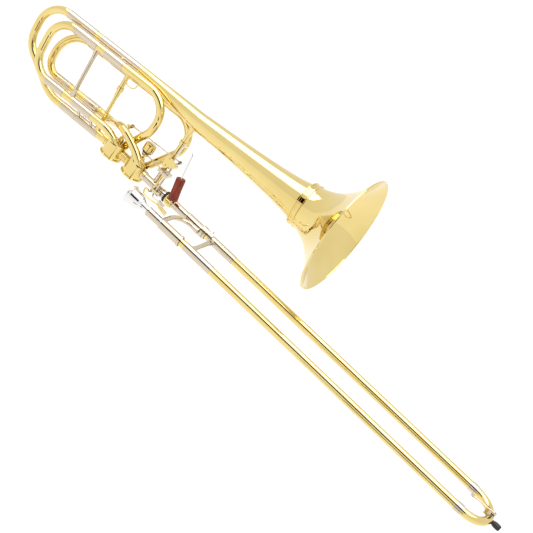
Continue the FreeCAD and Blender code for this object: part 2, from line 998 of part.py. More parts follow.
LOOP = size("loop_offset")
SLIDES = {
    # name: side offset, upper leg, lower leg, and places along the bell axis:
    # sleeve front, sleeve rear, ferrule front and ferrule rear of each leg
    "main": {
        "side": 0.0,
        "upper": (size("main_upper_leg"), -191.0, -294.0, -310.0, -383.0),
        "lower": (size("main_lower_leg"), -203.0, -262.0, -262.0, -301.0),
        "leg_inset": 9.0,
        "corners": [(-435.0, 9.6), (-435.0, -86.0), (-339.0, -147.6)],
        "bends": [51.5, 48.0, 80.0],
    },
    "f": {
        "side": -LOOP,
        "upper": (size("f_upper_leg"), -212.0, -260.0, -280.0, -341.0),
        "lower": (size("f_lower_leg"), -220.0, -270.0, -297.0, -345.0),
        "leg_inset": 4.0,
        "corners": [(-387.0, 0.5), (-387.0, -117.5)],
        "bends": [46.0, 44.0],
    },
    "gb": {
        "side": LOOP,
        "upper": (size("gb_upper_leg"), -214.0, -262.0, -285.0, -325.0),
        "lower": (size("gb_lower_leg"), -240.0, -275.0, -318.0, -357.0),
        "leg_inset": 4.0,
        "corners": [(-387.0, -18.0), (-387.0, -117.0)],
        "bends": [62.0, 29.0],
    },
}


def bell_point(station, side, height):
    return Vector(station, side, height)


def sleeve(slide, key, first, last, outside, bore):
    height = slide[key][0]
    return pipe(
        BELL_FRAME,
        bell_point(first, slide["side"], height),
        bell_point(last, slide["side"], height),
        outside,
        bore,
    )


def slide_bow_pipe(slide):
    side = slide["side"]
    upper = slide["upper"]
    lower = slide["lower"]
    route = [bell_point(upper[2], side, upper[0])]
    route += [bell_point(station, side, height) for station, height in slide["corners"]]
    route.append(bell_point(lower[2], side, lower[0]))
    return bent_pipe(BELL_FRAME, route, slide["bends"])


def slide_legs(slide):
    """Inner legs that run in the fixed sleeves, and the ferrules that they are soldered into."""
    parts = []
    for key in ("upper", "lower"):
        _, sleeve_front, sleeve_rear, ferrule_front, ferrule_rear = slide[key]
        leg_front = sleeve_front - slide["leg_inset"]
        parts.append(
            sleeve(slide, key, sleeve_rear, leg_front, half("leg_outside"), half("tube_bore"))
        )
        parts.append(
            sleeve(
                slide, key, ferrule_rear, ferrule_front, half("sleeve_outside"), half("tube_outside")
            )
        )
    return parts


for name, slide in SLIDES.items():
    group(
        [
            sleeve(
                slide,
                key,
                slide[key][2] + 0.3,
                slide[key][1],
                half("sleeve_outside"),
                half("sleeve_bore"),
            )
            for key in ("upper", "lower")
        ],
        f"{name}_slide_sleeves",
    )
    node(slide_bow_pipe(slide), f"{name}_slide_bow")
f_brace_place = -278.0
f_top = size("f_upper_leg")
f_bottom = size("f_lower_leg")
gb_top = size("gb_upper_leg")
gb_bottom = size("gb_lower_leg")
f_brace = cut(
    fuse(
        rod(
            BELL_FRAME,
            bell_point(f_brace_place, -LOOP, f_bottom),
            bell_point(f_brace_place, -LOOP, f_top),
            4.2,
        ),
        cone(
            BELL_FRAME,
            bell_point(f_brace_place, -LOOP, f_top),
            bell_point(f_brace_place, -LOOP, f_top - 24),
            7.4,
            3.9,
        ),
        cone(
            BELL_FRAME,
            bell_point(f_brace_place, -LOOP, f_bottom),
            bell_point(f_brace_place, -LOOP, f_bottom + 26),
            6.8,
            3.9,
        ),
    ),
    rod(
        BELL_FRAME,
        bell_point(f_brace_place - 30, -LOOP, f_top),
        bell_point(f_brace_place + 30, -LOOP, f_top),
        half("tube_outside"),
    ),
    rod(
        BELL_FRAME,
        bell_point(f_brace_place - 30, -LOOP, f_bottom),
        bell_point(f_brace_place + 30, -LOOP, f_bottom),
        half("tube_outside"),
    ),
)
for name, slide in SLIDES.items():
    brace = [f_brace] if name == "f" else []
    group(slide_legs(slide) + brace, f"{name}_slide_legs")

# ---------------------------------------------------------------- fixed tubing of the bell section


def world_point_of_bell(station, side, height):
    return BELL_FRAME.multVec(bell_point(station, side, height))


PORT = casing_radius + 1.5
lower_leg = size("main_lower_leg")
lower_start = world_point_of_bell(-203.0, 0, lower_leg)
lower_end = Vector(VALVES["f"] - PORT, 0, 0)
lower_knee = world_point_of_bell(-192.0, 0, lower_leg)
lower_route = [lower_start, lower_knee, lower_end + (lower_end - lower_knee) * 0.2]
lower_outer = bent_rod(WORLD, lower_route, [60.0], half("tube_outside"))
lower_bore = bent_rod(WORLD, lower_route, [60.0], half("tube_bore"))
lower_collar = rod(WORLD, lower_end + Vector(-9.5, 0, 0), lower_end, half("collar_outside"))
casing_face = rod(WORLD, lower_end, lower_end + Vector(20, 0, 0), 15)
node(cut(fuse(lower_outer, lower_collar), lower_bore, casing_face), "lower_leg_tube")

port_offset = size("port_offset")
f_place = VALVES["f"]
hook = bent_rod(
    BELL_FRAME,
    [
        bell_point(-196, -LOOP, f_top - 7),
        bell_point(-192, -LOOP, f_top - 24),
        bell_point(-170, -LOOP, f_top - 24),
        bell_point(-166, -LOOP, f_top - 7),
    ],
    [10.0, 10.0],
    1.3,
)
hook_seat = rod(
    BELL_FRAME,
    bell_point(-210, -LOOP, f_top),
    bell_point(-150, -LOOP, f_top),
    half("tube_outside"),
)
hook_ring = cut(hook, hook_seat)

LOOP_TUBES = {
    "f_front_bow": (
        [
            world_point_of_bell(-212.0, -LOOP, f_top),
            world_point_of_bell(-91.0, -LOOP, f_top),
            Vector(-93.2, -LOOP + 5.5, 83.8),
            Vector(f_place + 7.0, port_offset + 1.5, LID_LOW - 4),
        ],
        [46.0, 44.0],
    ),
    "f_rear_bend": (
        [
            world_point_of_bell(-220.0, -LOOP, f_bottom),
            world_point_of_bell(-170.0, -LOOP, f_bottom),
            Vector(f_place + 9.0, -port_offset + 1.0, LID_LOW - 4),
        ],
        [50.0],
    ),
    "gb_front_bow": (
        [
            world_point_of_bell(-214.0, LOOP, gb_top),
            world_point_of_bell(-41.0, LOOP, gb_top),
            Vector(-38.0, LOOP + 2, 78.0),
            Vector(gb_place + 9.0, port_offset + 1.5, LID_LOW - 4),
        ],
        [42.0, 40.0],
    ),
    "gb_rear_bend": (
        [
            world_point_of_bell(-240.0, LOOP, gb_bottom),
            world_point_of_bell(-201.0, LOOP, gb_bottom),
            Vector(-146.0, -20.0, 52.3),
            Vector(-99.2, -18.1, 35.5),
            Vector(gb_place + 13.5, -port_offset - 0.2, LID_LOW - 2),
        ],
        [34.0, 30.0, 130.0],
    ),
}

lid_ports = {"f": [], "gb": []}
for label, (route, bends) in LOOP_TUBES.items():
    outer = bent_rod(WORLD, route, bends, half("tube_outside"))
    inner = bent_rod(WORLD, route, bends, half("tube_bore"))
    place = f_place if label.startswith("f") else gb_place
    below_lid = rod(WORLD, Vector(place, 0, -10), Vector(place, 0, LID_TOP), 60)
    tube = cut(outer, inner, below_lid)
    if label == "f_front_bow":
        group([tube, hook_ring], label)
    else:
        node(tube, label)
    lid_ports["f" if label.startswith("f") else "gb"].append(inner)

lid_ports = {name: [frozen(bore, "port") for bore in bores] for name, bores in lid_ports.items()}
group([valve_lid(place, lid_ports[name]) for name, place in VALVES.items()], "valve_lids")
group([peg for place in VALVES.values() for peg in stop_bumpers(place)], "stop_bumpers")

# ---------------------------------------------------------------- braces and stays

rear_brace_place = -208.0
main_top = size("main_upper_leg")


def line_cutter(station, side, height, radius, reach=30.0):
    return rod(
        BELL_FRAME,
        bell_point(station - reach, side, height),
        bell_point(station + reach, side, height),
        radius,
    )


rear_axis_top = bell_point(rear_brace_place, 0, main_top)
rear_axis_low = bell_point(rear_brace_place, 0, lower_leg)
rear_brace = cut(
    fuse(
        rod(BELL_FRAME, rear_axis_low, rear_axis_top, 4.0),
        rod(
            BELL_FRAME,
            bell_point(rear_brace_place, 0, -62),
            bell_point(rear_brace_place, 0, -6),
            5.2,
        ),
        rod(
            BELL_FRAME,
            bell_point(rear_brace_place, 0, -50),
            bell_point(rear_brace_place, 0, -42),
            7.2,
        ),
        cone(
            BELL_FRAME,
            rear_axis_low,
            bell_point(rear_brace_place, 0, lower_leg + 40),
            7.5,
            4.0,
        ),
        cone(
            BELL_FRAME,
            rear_axis_top,
            bell_point(rear_brace_place, 0, main_top - 16),
            8.0,
            5.2,
        ),
    ),
    line_cutter(rear_brace_place, 0, main_top, half("sleeve_outside")),
    line_cutter(rear_brace_place, 0, lower_leg, half("sleeve_outside")),
)
node(rear_brace, "rear_bell_brace")

front_brace_place = -34.5


def brace_point(lift):
    """A point of the front brace, which leans towards the bell tail above its lower rod."""
    lean = BELL_SHIFT * 0.8 * max(0.0, lift - 80.0) / 70.0
    return Vector(front_brace_place, lean, lift)


front_brace = cut(
    fuse(
        rod(WORLD, brace_point(0), brace_point(80), 4.2),
        rod(WORLD, brace_point(80), brace_point(150), 4.2),
        rod(WORLD, brace_point(84), brace_point(130), 5.4),
        rod(WORLD, brace_point(101), brace_point(108), 7.2),
        cone(WORLD, brace_point(150), brace_point(128), 9.5, 5.2),
        cone(WORLD, brace_point(0), brace_point(9.4), 8.5, 5.0),
    ),
    rod(WORLD, Vector(-60, 0, 0), Vector(-12, 0, 0), 8.7),
    tail_solid,
)
node(front_brace, "front_bell_brace")

STAYS = [
    # station, then the two tubes that the stay joins: side offset and height
    (-232.0, (0.0, main_top), (-LOOP, f_top)),
    (-232.0, (0.0, main_top), (LOOP, gb_top)),
    (-222.0, (0.0, lower_leg), (-LOOP, f_bottom)),
    (-255.0, (0.0, lower_leg), (-LOOP, f_bottom)),
    (-250.0, (0.0, lower_leg), (LOOP, gb_bottom)),
]


def stay(station, first, second):
    start = bell_point(station, *first)
    end = bell_point(station, *second)
    return cut(
        rod(BELL_FRAME, start, end, 3.0),
        line_cutter(station, first[0], first[1], half("sleeve_outside"), 12.0),
        line_cutter(station, second[0], second[1], half("sleeve_outside"), 12.0),
    )


group([stay(*entry) for entry in STAYS], "slide_stays")

# ---------------------------------------------------------------- triggers


def plate(points, low_side, high_side):
    """A flat plate with an outline given in X and Z, between two sides."""
    outline = doc.addObject("Part::Polygon", "outline")
    outline.Nodes = [Vector(x, low_side, z) for x, z in points]
    outline.Close = True
    solid = doc.addObject("Part::Extrusion", "plate")
    solid.Base = outline
    solid.DirMode = "Custom"
    solid.Dir = Y_AXIS
    solid.LengthFwd = high_side - low_side
    solid.Solid = True
    return solid


pivot_side = size("pivot_side")
pivot_x = {name: size(f"{name}_pivot_place") for name in VALVES}
PIVOT_FOOT = -9.0
BEARING_GAP = 0.2
bearing_radius = size("pivot_diameter") / 2 + BEARING_GAP
rest_axis = Vector(-26.5, -8.0, 0)
REST_FOOT = 53.0


def pivot_hole(name, low, high):
    place = pivot_x[name]
    return rod(
        WORLD, Vector(place, pivot_side, low), Vector(place, pivot_side, high), bearing_radius
    )


brace_hole = rod(WORLD, Vector(front_brace_place, 0, 20), Vector(front_brace_place, 0, 90), 4.2)
rest_hole = rod(
    WORLD, rest_axis + Vector(0, 0, REST_FOOT - 0.5), rest_axis + Vector(0, 0, 90), 1.65
)
saddle_face = plate(
    [(-40, 61), (-38, 47), (-29.5, 47), (-25, 55), (-15, 62), (-15, 66), (-26, 72), (-40, 72)],
    -17.4,
    -14.6,
)
saddle_clamp = plate(
    [(-40, 48), (-23, 51), (-23, 56), (-16, 56), (-16, 60.5), (-40, 60.5)], -14.7, 6.0
)
saddle_screws = [
    rod(WORLD, Vector(-33.0, -18.6, lift), Vector(-33.0, -17.3, lift), 2.2) for lift in (52.0, 67.0)
]
trigger_bracket = cut(
    fuse(saddle_face, saddle_clamp, *saddle_screws),
    brace_hole,
    rest_hole,
    pivot_hole("f", 40, 61),
)
node(trigger_bracket, "trigger_bracket")

gb_bearing = cut(
    plate([(-40, 33.5), (-15.5, 33.5), (-15.5, 39.5), (-40, 39.5)], -15.6, 5.5),
    rod(WORLD, Vector(front_brace_place, 0, 20), Vector(front_brace_place, 0, 90), 4.2),
    pivot_hole("gb", 30, 50),
    pivot_hole("f", 30, 50),
)
foot_block = plate([(-28.6, -6), (-14.4, -6), (-14.4, 0), (-28.6, 0)], -15.6, -7.2)
foot_knob = rod(WORLD, Vector(-11.5, -14.5, -3), Vector(-11.5, -7.0, -3), 4.0)
foot_link = plate([(-16, -6), (-11, -6), (-11, 0), (-16, 0)], -13.0, -8.0)
pivot_foot = cut(
    fuse(foot_block, foot_knob, foot_link),
    pivot_hole("gb", -10, 5),
    pivot_hole("f", -10, 5),
    rod(WORLD, Vector(-40, 0, 0), Vector(-11.6, 0, 0), 8.7),
    rod(WORLD, Vector(-11.7, 0, 0), Vector(0, 0, 0), 10.1),
)
group([gb_bearing, pivot_foot], "pivot_bearings")

sleeve_ribs = []
for rib in range(7):
    start = 1.0 + rib * 3.2
    sleeve_ribs += [(start, 5.1), (start + 0.5, 5.7), (start + 1.7, 5.7), (start + 2.2, 5.1)]
brace_sleeve = turned(
    Placement(Vector(front_brace_place, 0, 9.5), Rotation(Y_AXIS, -90)),
    Vector(0, 0, 0),
    [(0, 4.2), (0, 5.1)] + sleeve_ribs + [(23.1, 5.1), (23.1, 4.2)],
)
node(brace_sleeve, "front_brace_sleeve")

ARM_LIFT = {"f": 63.0, "gb": 41.0}
ARM_SIGN = {"f": 1, "gb": -1}
trigger_pin = {
    name: Vector(
        pivot_x[name],
        pivot_side + ARM_SIGN[name] * size(f"{name}_arm_length"),
        ARM_LIFT[name] + 2.0,
    )
    for name in VALVES
}


def trigger(name, lever, paddle):
    """Upright pivot with a crank arm at its head and a thumb lever at its foot."""
    place = pivot_x[name]
    lift = ARM_LIFT[name]
    pin = trigger_pin[name]
    pivot = rod(
        WORLD,
        Vector(place, pivot_side, PIVOT_FOOT),
        Vector(place, pivot_side, lift + 2.5),
        half("pivot_diameter"),
    )
    ends = sorted([pivot_side, pin.y])
    arm = block(
        WORLD, Vector(place - 1.8, ends[0] - 1.8, lift), Vector(place + 1.8, ends[1] + 1.8, lift + 2.5)
    )
    peg = rod(WORLD, Vector(pin.x, pin.y, lift + 1), Vector(pin.x, pin.y, lift + 8.5), PIN_RADIUS)
    return fuse(pivot, arm, peg, lever, paddle)


f_lever = bent_rod(
    WORLD,
    [
        Vector(pivot_x["f"], pivot_side, -8.5),
        Vector(pivot_x["f"] + 6, -24.0, -8.8),
        Vector(4.0, -26.5, -6.5),
        Vector(15.0, -26.5, -7.5),
    ],
    [6.0, 12.0],
    1.5,
)
f_paddle = block(
    Placement(Vector(12.0, -26.5, -7.2), Rotation(Y_AXIS, 5)),
    Vector(-9, -1.3, -3.2),
    Vector(6, 1.3, 3.2),
)
node(trigger("f", f_lever, f_paddle), "f_trigger")

gb_lever = bent_rod(
    WORLD,
    [
        Vector(pivot_x["gb"], pivot_side, -8.5),
        Vector(-27.5, -21.0, -8.0),
        Vector(-34.5, -22.0, -1.0),
        Vector(-36.5, -22.0, -16.0),
        Vector(-20.0, -23.5, -18.0),
        Vector(4.0, -23.4, -14.0),
        Vector(20.0, -23.4, -16.4),
    ],
    [3.0, 3.5, 6.0, 7.0, 20.0],
    1.8,
)
gb_paddle = block(
    Placement(Vector(20.0, -23.4, -16.4), Rotation(Y_AXIS, 8)),
    Vector(-12, -1.5, -3.6),
    Vector(9, 1.5, 3.6),
)
node(trigger("gb", gb_lever, gb_paddle), "gb_trigger")

EYE_BORE = 2.9
EYE_OUTSIDE = 4.4


def eye(centre):
    up = Vector(0, 0, 1.4)
    return cut(
        rod(WORLD, centre - up, centre + up, EYE_OUTSIDE),
        rod(WORLD, centre - up * 2, centre + up * 2, EYE_BORE),
    )


def link_rod(name, place):
    """Rod between the crank pins of the trigger and of the valve, with an eye at each end."""
    valve_end = polar(place, CRANK[name], PIN_START[name], CRANK_LIFT[name])
    pin = trigger_pin[name]
    trigger_end = Vector(pin.x, pin.y, ARM_LIFT[name] + 5.0)
    towards = (trigger_end - valve_end).normalize()
    start = valve_end + towards * 3.7
    end = trigger_end - towards * 3.7
    bar = rod(WORLD, start, end, 1.1)
    swage = rod(WORLD, start, start + towards * 11, 1.5)
    return fuse(bar, swage, eye(valve_end), eye(trigger_end))


for name, place in VALVES.items():
    node(link_rod(name, place), f"{name}_link_rod")

# ---------------------------------------------------------------- hand rest

roll_top = Vector(11.6, -22.0, 57.6)
roll_low = Vector(22.3, -22.0, 13.3)
rest_rod = bent_rod(
    WORLD,
    [
        rest_axis + Vector(0, 0, REST_FOOT),
        rest_axis + Vector(0, 0, 107.5),
        Vector(-1.0, -14.5, 109.5),
        roll_top,
    ],
    [11.0, 10.0],
    1.6,
)
rest_core = rod(WORLD, roll_top, roll_top + (roll_low - roll_top) * 0.9, 1.6)
node(fuse(rest_rod, rest_core), "hand_rest_rod")
roll_frame = Placement(roll_top, Rotation(X_AXIS, roll_low - roll_top))
roll_length = (roll_low - roll_top).Length
hand_roll = cut(
    turned(
        roll_frame,
        Vector(0, 0, 0),
        [
            (0, 0),
            (0, 8.2),
            (1.4, 9.2),
            (4, 9.6),
            (roll_length - 4, 9.8),
            (roll_length - 1, 9.4),
            (roll_length, 8.6),
            (roll_length, 0),
        ],
    ),
    rod(WORLD, roll_top - (roll_low - roll_top) * 0.1, roll_top + (roll_low - roll_top) * 0.9, 1.6),
)
node(hand_roll, "hand_rest_roll")

# ---------------------------------------------------------------- checks and export

doc.recompute()
for item in doc.Objects:
    if "Invalid" in item.State or "Error" in item.State:
        raise RuntimeError(f"{item.Name} ({item.Label}) failed: {item.State}")
for item in nodes:
    if item.Shape.isNull() or not item.Shape.isValid():
        raise RuntimeError(f"{item.Label} has no valid shape")
    if not item.Shape.Solids:
        raise RuntimeError(f"{item.Label} has no solid")

os.makedirs("parts", exist_ok=True)
for item in nodes:
    item.Shape.exportStep(f"parts/{item.Label}.step")
print(len(nodes), "nodes written")
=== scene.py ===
import json
import math

import bpy
from mathutils import Matrix, Vector, noise as field


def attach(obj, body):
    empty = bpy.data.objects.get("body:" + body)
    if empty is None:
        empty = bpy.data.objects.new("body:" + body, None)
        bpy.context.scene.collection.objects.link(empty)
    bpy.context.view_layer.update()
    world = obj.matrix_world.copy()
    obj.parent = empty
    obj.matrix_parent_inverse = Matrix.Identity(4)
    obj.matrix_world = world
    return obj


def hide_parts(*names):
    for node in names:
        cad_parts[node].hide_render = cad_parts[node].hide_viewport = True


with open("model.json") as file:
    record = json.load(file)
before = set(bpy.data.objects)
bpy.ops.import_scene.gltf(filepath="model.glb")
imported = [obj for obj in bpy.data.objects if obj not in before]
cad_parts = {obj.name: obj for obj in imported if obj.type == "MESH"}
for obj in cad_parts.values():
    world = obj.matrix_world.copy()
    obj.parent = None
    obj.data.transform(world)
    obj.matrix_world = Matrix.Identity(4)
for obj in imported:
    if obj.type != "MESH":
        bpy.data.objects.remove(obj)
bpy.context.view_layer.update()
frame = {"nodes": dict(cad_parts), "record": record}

record = frame["record"]

# ---------------------------------------------------------------- camera

CAMERA_PLACE = Vector((0.6642, -1.8871, 0.7940))
CAMERA_RIGHT = Vector((0.7131, 0.3931, 0.5803))
CAMERA_UP = Vector((-0.6705, 0.1413, 0.7282))
FOCAL_LENGTH = 75.49
SENSOR_WIDTH = 36.0

camera_data = bpy.data.cameras.new("camera")
camera_data.lens = FOCAL_LENGTH
camera_data.sensor_width = SENSOR_WIDTH
camera = bpy.data.objects.new("camera", camera_data)
camera_back = CAMERA_RIGHT.cross(CAMERA_UP)
camera_turn = Matrix((CAMERA_RIGHT, CAMERA_UP, camera_back)).transposed()
camera.matrix_world = Matrix.Translation(CAMERA_PLACE) @ camera_turn.to_4x4()
bpy.context.collection.objects.link(camera)
bpy.context.scene.camera = camera

# ---------------------------------------------------------------- studio


def flat_corners(rear, front, near, far, height):
    """The corners of a level rectangle."""
    return [(rear, near, height), (front, near, height), (front, far, height), (rear, far, height)]


def upright_corners(rear, front, side, low, high):
    """The corners of an upright rectangle that faces sideways."""
    return [(rear, side, low), (front, side, low), (front, side, high), (rear, side, high)]


def sheet_mesh(name, corners, material):
    """A flat four-sided sheet."""
    mesh = bpy.data.meshes.new(name)
    mesh.from_pydata(corners, [], [(0, 1, 2, 3)])
    mesh.materials.append(material)
    sheet = bpy.data.objects.new(name, mesh)
    bpy.context.collection.objects.link(sheet)
    return sheet


def plain(name, colour, glow_colour=(1.0, 1.0, 1.0), glow=0.0):
    """A matt studio material that may also glow."""
    material = bpy.data.materials.new(name)
    material.use_nodes = True
    shader = material.node_tree.nodes["Principled BSDF"]
    shader.inputs["Base Color"].default_value = (*colour, 1.0)
    shader.inputs["Roughness"].default_value = 0.9
    shader.inputs["Specular IOR Level"].default_value = 0.0
    shader.inputs["Emission Color"].default_value = (*glow_colour, 1.0)
    shader.inputs["Emission Strength"].default_value = glow
    return material


def mirrored_only(sheet):
    """The metal mirrors the sheet, and nothing else meets it."""
    sheet.visible_camera = False
    sheet.visible_shadow = False
    sheet.visible_diffuse = False


FLOOR_LEVEL = -0.95
FLOOR_REACH = 70.0
FLOOR_TONE = (0.62, 0.62, 0.62)
FLOOR_GLOW = 0.5
floor = sheet_mesh(
    "studio_floor",
    flat_corners(-FLOOR_REACH, FLOOR_REACH, -FLOOR_REACH, FLOOR_REACH, FLOOR_LEVEL),
    plain("floor_paper", FLOOR_TONE, glow=FLOOR_GLOW),
)

# Black cards beside and below the camera give the tubes and the braces their crisp dark lines.
CARD_SIDE = -2.15
LOW_CARD_LEVEL = FLOOR_LEVEL + 0.03
CARDS = {
    "tube_card": upright_corners(-0.85, 1.55, CARD_SIDE, 0.62, 1.75),
    "brace_card": upright_corners(0.36, 1.30, CARD_SIDE, -0.80, -0.45),
    "low_card": flat_corners(0.15, 1.30, -1.98, -1.45, LOW_CARD_LEVEL),
}
black_cloth = plain("black_cloth", (0.004, 0.003, 0.002))
for card_name, card_corners in CARDS.items():
    mirrored_only(sheet_mesh(card_name, card_corners, black_cloth))

# A long white box overhead gives every tube and the bell a white strip.
BOX_HEIGHT = 1.9
BOX_GLOW = 4.0
box_corners = flat_corners(-2.3, 1.9, -1.25, 0.45, BOX_HEIGHT)
box_glow = plain("box_glow", (0.0, 0.0, 0.0), (1.0, 0.995, 0.98), BOX_GLOW)
mirrored_only(sheet_mesh("white_box", box_corners, box_glow))

WORLD_COLOUR = (1.0, 0.995, 0.985)
WORLD_STRENGTH = 0.96
world = bpy.data.worlds.new("studio")
world.use_nodes = True
background = world.node_tree.nodes["Background"]
background.inputs["Color"].default_value = (*WORLD_COLOUR, 1.0)
background.inputs["Strength"].default_value = WORLD_STRENGTH
bpy.context.scene.world = world


def area_light(name, place, aim, width, height, radiance):
    """A soft box that lights the matt pieces and isn't mirrored."""
    light_data = bpy.data.lights.new(name, "AREA")
    light_data.shape = "RECTANGLE"
    light_data.size = width
    light_data.size_y = height
    light_data.energy = radiance * math.pi * width * height
    light = bpy.data.objects.new(name, light_data)
    direction = Vector(aim) - Vector(place)
    light.location = place
    light.rotation_euler = direction.to_track_quat("-Z", "Y").to_euler()
    light.visible_camera = False
    light.visible_glossy = False
    bpy.context.collection.objects.link(light)


area_light(
    "overhead_box",
    place=(0.25, 0.15, BOX_HEIGHT),
    aim=(0.25, 0.1, 0.0),
    width=2.6,
    height=1.5,
    radiance=1.4,
)

view = bpy.context.scene.view_settings
view.view_transform = "Standard"
view.look = "None"

# ---------------------------------------------------------------- materials


def new_material(name, colour, metallic, roughness):
    """A material of one finish, with its node tree and its shader."""
    material = bpy.data.materials.new(name)
    material.use_nodes = True
    tree = material.node_tree
    shader = tree.nodes["Principled BSDF"]
    shader.inputs["Base Color"].default_value = (*colour, 1.0)
    shader.inputs["Metallic"].default_value = metallic
    shader.inputs["Roughness"].default_value = roughness
    return material, tree, shader


def noise(tree, scale, detail=3.0, stretch=(1.0, 1.0, 1.0)):
    """Noise in the object's own coordinates, in metres."""
    place = tree.nodes.new("ShaderNodeTexCoord")
    mapping = tree.nodes.new("ShaderNodeMapping")
    mapping.inputs["Scale"].default_value = stretch
    tree.links.new(place.outputs["Object"], mapping.inputs["Vector"])
    texture = tree.nodes.new("ShaderNodeTexNoise")
    texture.inputs["Scale"].default_value = scale
    texture.inputs["Detail"].default_value = detail
    tree.links.new(mapping.outputs["Vector"], texture.inputs["Vector"])
    return texture.outputs["Fac"]


def ramp(tree, source, stops):
    """A colour ramp from (position, colour) stops."""
    node = tree.nodes.new("ShaderNodeValToRGB")
    elements = node.color_ramp.elements
    while len(elements) < len(stops):
        elements.new(0.5)
    for element, (position, colour) in zip(elements, stops):
        element.position = position
        element.color = (*colour, 1.0)
    tree.links.new(source, node.inputs["Fac"])
    return node.outputs["Color"]


# Most of the noise lies between these two values.
NOISE_LOW = 0.3
NOISE_HIGH = 0.7


def level(tree, source, low, high):
    """Maps noise to a span of values."""
    node = tree.nodes.new("ShaderNodeMapRange")
    node.inputs["From Min"].default_value = NOISE_LOW
    node.inputs["From Max"].default_value = NOISE_HIGH
    node.inputs["To Min"].default_value = low
    node.inputs["To Max"].default_value = high
    tree.links.new(source, node.inputs["Value"])
    return node.outputs["Result"]


def bump(tree, shader, source, strength, distance):
    """Raises the surface a little where the noise is high. The distance is in metres."""
    node = tree.nodes.new("ShaderNodeBump")
    node.inputs["Strength"].default_value = strength
    node.inputs["Distance"].default_value = distance
    tree.links.new(source, node.inputs["Height"])
    tree.links.new(node.outputs["Normal"], shader.inputs["Normal"])


# The noise scales of metal's tone and polish, and how far the polish strays from its mean.
TONE_SCALE = 14.0
POLISH_SCALE = 60.0
POLISH_BEST = 0.75
POLISH_WORST = 1.35
COAT_ROUGHNESS = 0.02


def polished(name, pale, deep, roughness, coat=0.0):
    """Polished metal with slightly uneven tone and polish."""
    material, tree, shader = new_material(name, pale, 1.0, roughness)
    stops = [(NOISE_LOW, deep), (NOISE_HIGH, pale)]
    tone = ramp(tree, noise(tree, TONE_SCALE, detail=2.0), stops)
    tree.links.new(tone, shader.inputs["Base Color"])
    polish = noise(tree, POLISH_SCALE)
    uneven = level(tree, polish, roughness * POLISH_BEST, roughness * POLISH_WORST)
    tree.links.new(uneven, shader.inputs["Roughness"])
    shader.inputs["Coat Weight"].default_value = coat
    shader.inputs["Coat Roughness"].default_value = COAT_ROUGHNESS
    return material


def rubber(name):
    """Black rubber with a fine grain."""
    grey = (0.012, 0.012, 0.012)
    material, tree, shader = new_material(name, grey, metallic=0.0, roughness=0.55)
    bump(tree, shader, noise(tree, scale=900.0), strength=0.15, distance=0.0003)
    stops = [(NOISE_LOW, (0.008, 0.008, 0.009)), (NOISE_HIGH, (0.02, 0.019, 0.018))]
    tone = ramp(tree, noise(tree, scale=120.0), stops)
    tree.links.new(tone, shader.inputs["Base Color"])
    return material


def leather(name):
    """Red-brown leather with a grain and darker streaks along the roll."""
    red_brown = (0.24, 0.035, 0.015)
    material, tree, shader = new_material(name, red_brown, metallic=0.0, roughness=0.48)
    shader.inputs["Specular IOR Level"].default_value = 0.3
    grain = noise(tree, scale=420.0, detail=5.0)
    bump(tree, shader, grain, strength=0.35, distance=0.0005)
    streaks = noise(tree, scale=240.0, detail=4.0, stretch=(1.0, 1.0, 0.22))
    dark, middle, light = (0.12, 0.014, 0.006), (0.24, 0.034, 0.014), (0.33, 0.06, 0.026)
    tone = ramp(tree, streaks, [(0.25, dark), (0.55, middle), (0.8, light)])
    tree.links.new(tone, shader.inputs["Base Color"])
    return material


BRASS_PALE = (0.82, 0.655, 0.265)
BRASS_DEEP = (0.76, 0.59, 0.22)
NICKEL_PALE = (0.68, 0.59, 0.46)
NICKEL_DEEP = (0.62, 0.53, 0.40)
SILVER_PALE = (0.86, 0.845, 0.83)
SILVER_DEEP = (0.80, 0.785, 0.77)
MATERIALS = {
    "lacquered_brass": polished("lacquered_brass", BRASS_PALE, BRASS_DEEP, 0.045, coat=0.25),
    "nickel_silver": polished("nickel_silver", NICKEL_PALE, NICKEL_DEEP, roughness=0.07),
    "silver_plate": polished("silver_plate", SILVER_PALE, SILVER_DEEP, roughness=0.05),
    "black_rubber": rubber("black_rubber"),
    "grip_leather": leather("grip_leather"),
}

for entry in record["subparts"]:
    node = frame["nodes"][entry["node"]]
    for holder in node.material_slots:
        holder.material = MATERIALS[entry["material_slot"]]

# ---------------------------------------------------------------- meshes of the made pieces

MM = 0.001


def ring_faces(start, rows, steps, closed=False):
    """The faces between rows of points that each run once around."""
    faces = []
    for row in range(rows if closed else rows - 1):
        here = start + row * steps
        after = start + (row + 1) % rows * steps
        for step in range(steps):
            beside = (step + 1) % steps
            faces.append((here + step, after + step, after + beside, here + beside))
    return faces


def shaded(name, corners, faces, sharp_angle):
    """A smooth mesh, but for its edges that are sharper than the angle in radians."""
    mesh = bpy.data.meshes.new(name)
    mesh.from_pydata(corners, [], faces)
    mesh.validate()
    mesh.shade_smooth()
    mesh.set_sharp_from_angle(angle=sharp_angle)
    return mesh


def stand_in(mesh, node_name, slot_name):
    """Shows the mesh instead of a CAD node, on the same body and with its finish."""
    piece = bpy.data.objects.new(mesh.name, mesh)
    bpy.context.collection.objects.link(piece)
    bodies = record["behaviour"]["bodies"]
    body = next(name for name, nodes in bodies.items() if node_name in nodes)
    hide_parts(node_name)
    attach(piece, body)
    piece.data.materials.append(MATERIALS[slot_name])


# ---------------------------------------------------------------- the bell's smooth skin

BELL_TILT = math.radians(5.0)
BELL_YAW = math.radians(2.0)
BELL_LIFT = 161.1
BELL_PIVOT = -170.0
WALL = 0.8
ROUND_STEPS = 192
SKIN_SHARP_ANGLE = 0.6
LEAST_GAP = 1e-6

